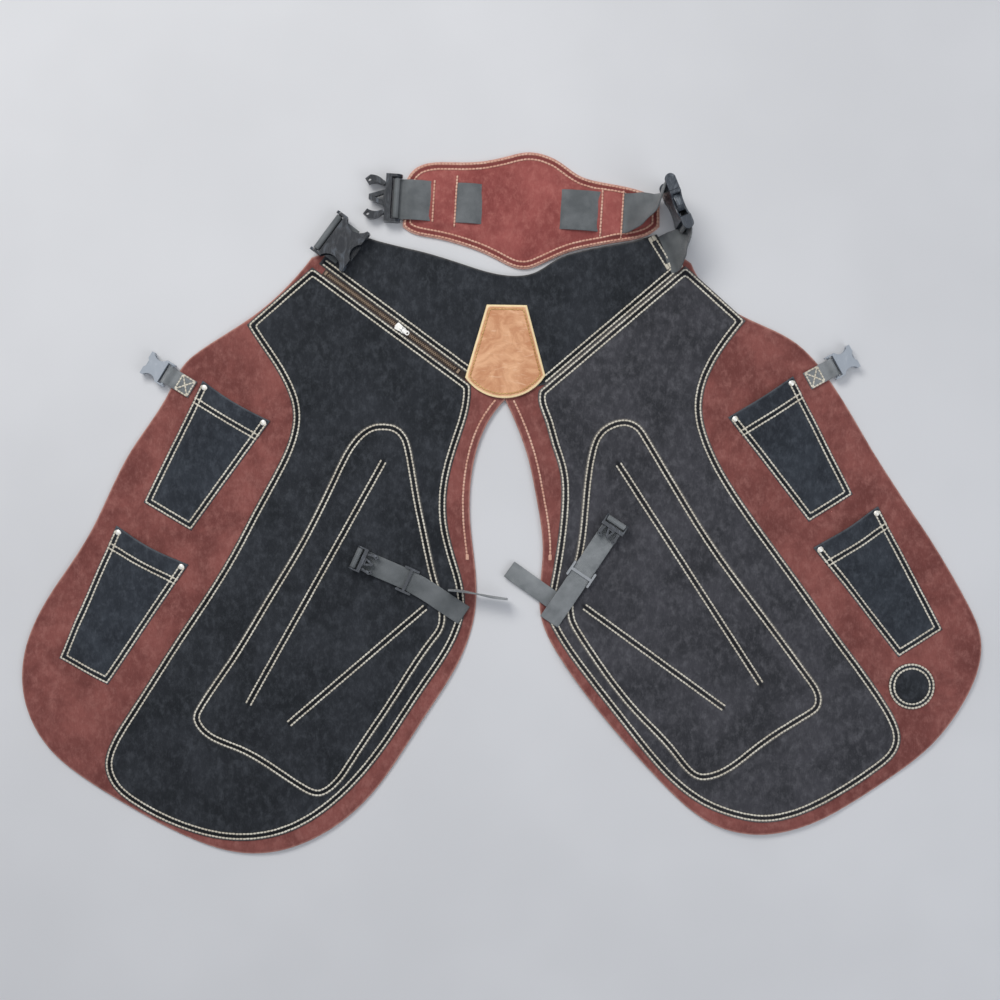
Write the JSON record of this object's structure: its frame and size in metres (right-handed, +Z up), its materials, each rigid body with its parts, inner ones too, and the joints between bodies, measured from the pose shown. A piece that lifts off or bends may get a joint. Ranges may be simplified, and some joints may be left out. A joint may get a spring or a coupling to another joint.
{
  "type": "split-leg leather work apron",
  "caption": "Split-leg leather work apron laid flat: leg panels with knee patches and tool pockets, a zipped yoke, a padded back belt and webbing straps with release buckles.",
  "frame": {"origin": "middle of the footprint, on the surface that the apron lies on", "axes": "+X to the right across the laid-out apron, +Y towards the waist, +Z up from the surface"},
  "size_m": [1.1488, 0.84, 0.0648],
  "materials": {
    "red_suede": "split suede, napped, oxblood red",
    "pad_suede": "split suede, napped, redder",
    "black_suede": "split suede, napped, charcoal black",
    "tan_leather": "smooth pull-up leather, pale cut edge",
    "webbing": "woven flat webbing, dark grey green",
    "buckle_plastic": "moulded, satin",
    "rivet_nickel": "pale nickel cap",
    "magnet": "plated",
    "zip_tape": "woven tape",
    "zip_teeth": "nylon coil",
    "zip_metal": "bright die casting",
    "pocket_cloth": "twill",
    "foam": "closed-cell foam"
  },
  "bodies": {
    "apron": {"left_leg_panel": "red_suede", "right_leg_panel": "red_suede", "left_leg_patch": "black_suede", "right_leg_patch": "black_suede", "left_knee_patch": "black_suede", "right_knee_patch": "black_suede", "waist_yoke": "black_suede", "crotch_patch": "tan_leather", "pocket_rivets": "rivet_nickel", "nail_magnet": "magnet", "magnet_cover": "black_suede", "zip_tapes": "zip_tape", "zip_chain": "zip_teeth", "zip_stops": "zip_metal", "zip_pocket_lining": "pocket_cloth", "left_yoke_tab": "webbing", "right_yoke_tab": "webbing", "left_upper_pocket": "black_suede", "left_lower_pocket": "black_suede", "right_upper_pocket": "black_suede", "right_lower_pocket": "black_suede", "left_outer_tab": "webbing", "left_strap_anchor": "webbing", "left_strap_tail": "webbing", "right_outer_tab": "webbing", "right_strap_anchor": "webbing", "right_strap_tail": "webbing"},
    "zip_slider": {"zip_slider": "zip_metal"},
    "zip_pull": {"zip_pull": "zip_metal"},
    "left_waist_socket": {"left_waist_socket": "buckle_plastic"},
    "right_waist_socket": {"right_waist_socket": "buckle_plastic"},
    "belt": {"back_pad_lining": "pad_suede", "back_pad_foam": "foam", "back_pad_face": "pad_suede", "belt_webbing": "webbing", "right_waist_clip": "buckle_plastic"},
    "left_waist_clip": {"left_waist_clip": "buckle_plastic"},
    "left_waist_clip_arm_a": {"left_waist_clip_arm_a": "buckle_plastic"},
    "left_waist_clip_arm_b": {"left_waist_clip_arm_b": "buckle_plastic"},
    "right_waist_clip_arm_a": {"right_waist_clip_arm_a": "buckle_plastic"},
    "right_waist_clip_arm_b": {"right_waist_clip_arm_b": "buckle_plastic"},
    "left_leg_strap": {"left_leg_strap": "webbing"},
    "left_slide_adjuster": {"left_slide_adjuster": "buckle_plastic"},
    "left_leg_clip": {"left_leg_clip": "buckle_plastic"},
    "left_leg_clip_arm_a": {"left_leg_clip_arm_a": "buckle_plastic"},
    "left_leg_clip_arm_b": {"left_leg_clip_arm_b": "buckle_plastic"},
    "left_outer_socket": {"left_outer_socket": "buckle_plastic"},
    "right_leg_strap": {"right_leg_strap": "webbing"},
    "right_slide_adjuster": {"right_slide_adjuster": "buckle_plastic"},
    "right_leg_clip": {"right_leg_clip": "buckle_plastic"},
    "right_leg_clip_arm_a": {"right_leg_clip_arm_a": "buckle_plastic"},
    "right_leg_clip_arm_b": {"right_leg_clip_arm_b": "buckle_plastic"},
    "right_outer_socket": {"right_outer_socket": "buckle_plastic"}
  },
  "joints": [
    {"name": "zip_slide", "type": "slide", "parent": "apron", "child": "zip_slider", "axis": [0.8039, -0.5948, 0], "range_m": [-0.1, 0.072]},
    {"name": "zip_pull_flip", "type": "hinge", "parent": "zip_slider", "child": "zip_pull", "pos_m": [-0.11973, 0.208, 0.0074], "axis": [-0.5948, -0.8039, 0], "range_deg": [0, 150]},
    {"name": "left_strap_swing", "type": "hinge", "parent": "apron", "child": "left_leg_strap", "pos_m": [-0.05568, -0.1275, 0.007], "axis": [0.5635, 0.8261, 0], "range_deg": [0, 110]},
    {"name": "left_adjuster_slide", "type": "slide", "parent": "left_leg_strap", "child": "left_slide_adjuster", "axis": [-0.9114, 0.4115, 0], "range_m": [-0.005, 0.025]},
    {"name": "left_clip_fold", "type": "hinge", "parent": "left_leg_strap", "child": "left_leg_clip", "pos_m": [-0.17214, -0.0653, 0.0151], "axis": [-0.4115, -0.9114, 0], "range_deg": [0, 170]},
    {"name": "left_clip_squeeze_a", "type": "hinge", "parent": "left_leg_clip", "child": "left_leg_clip_arm_a", "pos_m": [-0.15791, -0.06169, 0.0151], "axis": [0, 0, -1], "range_deg": [0, 8], "stiffness_Nm_per_rad": 0.1},
    {"name": "left_clip_squeeze_b", "type": "hinge", "parent": "left_leg_clip", "child": "left_leg_clip_arm_b", "pos_m": [-0.16544, -0.07836, 0.0151], "axis": [0, 0, -1], "range_deg": [-8, 0], "stiffness_Nm_per_rad": 0.1},
    {"name": "left_outer_socket_lift", "type": "hinge", "parent": "apron", "child": "left_outer_socket", "pos_m": [-0.39908, 0.153, 0.0075], "axis": [0.5195, 0.8545, 0], "range_deg": [0, 100]},
    {"name": "right_strap_swing", "type": "hinge", "parent": "apron", "child": "right_leg_strap", "pos_m": [0.06392, -0.1316, 0.007], "axis": [0.83, -0.5577, 0], "range_deg": [0, 110]},
    {"name": "right_adjuster_slide", "type": "slide", "parent": "right_leg_strap", "child": "right_slide_adjuster", "axis": [0.5577, 0.83, 0], "range_m": [-0.025, 0.035]},
    {"name": "right_clip_fold", "type": "hinge", "parent": "right_leg_strap", "child": "right_leg_clip", "pos_m": [0.13642, -0.0237, 0.0151], "axis": [-0.83, 0.5577, 0], "range_deg": [0, 170]},
    {"name": "right_clip_squeeze_a", "type": "hinge", "parent": "right_leg_clip", "child": "right_leg_clip_arm_a", "pos_m": [0.13761, -0.03833, 0.0151], "axis": [0, 0, -1], "range_deg": [0, 8], "stiffness_Nm_per_rad": 0.1},
    {"name": "right_clip_squeeze_b", "type": "hinge", "parent": "right_leg_clip", "child": "right_leg_clip_arm_b", "pos_m": [0.12243, -0.02813, 0.0151], "axis": [0, 0, -1], "range_deg": [-8, 0], "stiffness_Nm_per_rad": 0.1},
    {"name": "right_outer_socket_lift", "type": "hinge", "parent": "apron", "child": "right_outer_socket", "pos_m": [0.39592, 0.1618, 0.0075], "axis": [0.4802, -0.8771, 0], "range_deg": [0, 100]},
    {"name": "left_waist_socket_fold", "type": "hinge", "parent": "apron", "child": "left_waist_socket", "pos_m": [-0.20658, 0.322, 0.01234], "axis": [-0.5948, -0.8039, 0], "range_deg": [0, 170]},
    {"name": "right_waist_socket_swing", "type": "hinge", "parent": "apron", "child": "right_waist_socket", "pos_m": [0.21564, 0.32359, 0.0365], "axis": [0, 0, -1], "range_deg": [0, 70]},
    {"name": "right_waist_unclip", "type": "slide", "parent": "right_waist_socket", "child": "belt", "axis": [-0.3795, 0.9252, 0], "range_m": [0, 0.06]},
    {"name": "left_waist_clip_squeeze_a", "type": "hinge", "parent": "left_waist_clip", "child": "left_waist_clip_arm_a", "pos_m": [-0.14261, 0.34668, 0.00916], "axis": [0, 0, -1], "range_deg": [0, 8], "stiffness_Nm_per_rad": 0.4},
    {"name": "left_waist_clip_squeeze_b", "type": "hinge", "parent": "left_waist_clip", "child": "left_waist_clip_arm_b", "pos_m": [-0.14041, 0.38172, 0.00916], "axis": [0, 0, -1], "range_deg": [-8, 0], "stiffness_Nm_per_rad": 0.4},
    {"name": "right_waist_clip_squeeze_a", "type": "hinge", "parent": "belt", "child": "right_waist_clip_arm_a", "pos_m": [0.20085, 0.35964, 0.05406], "axis": [0.9252, 0.3795, 0], "range_deg": [0, 8], "stiffness_Nm_per_rad": 0.4},
    {"name": "right_waist_clip_squeeze_b", "type": "hinge", "parent": "belt", "child": "right_waist_clip_arm_b", "pos_m": [0.20085, 0.35964, 0.01894], "axis": [0.9252, 0.3795, 0], "range_deg": [-8, 0], "stiffness_Nm_per_rad": 0.4},
    {"name": "left_waist_clip_lift", "type": "hinge", "parent": "belt", "child": "left_waist_clip", "pos_m": [-0.12558, 0.3632, 0.00916], "axis": [0.0628, 0.998, 0], "range_deg": [0, 120]}
  ],
  "couplings": [
    {"joint": "left_clip_squeeze_b", "follows": "left_clip_squeeze_a", "ratio": -1},
    {"joint": "right_clip_squeeze_b", "follows": "right_clip_squeeze_a", "ratio": -1},
    {"joint": "left_waist_clip_squeeze_b", "follows": "left_waist_clip_squeeze_a", "ratio": -1},
    {"joint": "right_waist_clip_squeeze_b", "follows": "right_waist_clip_squeeze_a", "ratio": -1}
  ]
}
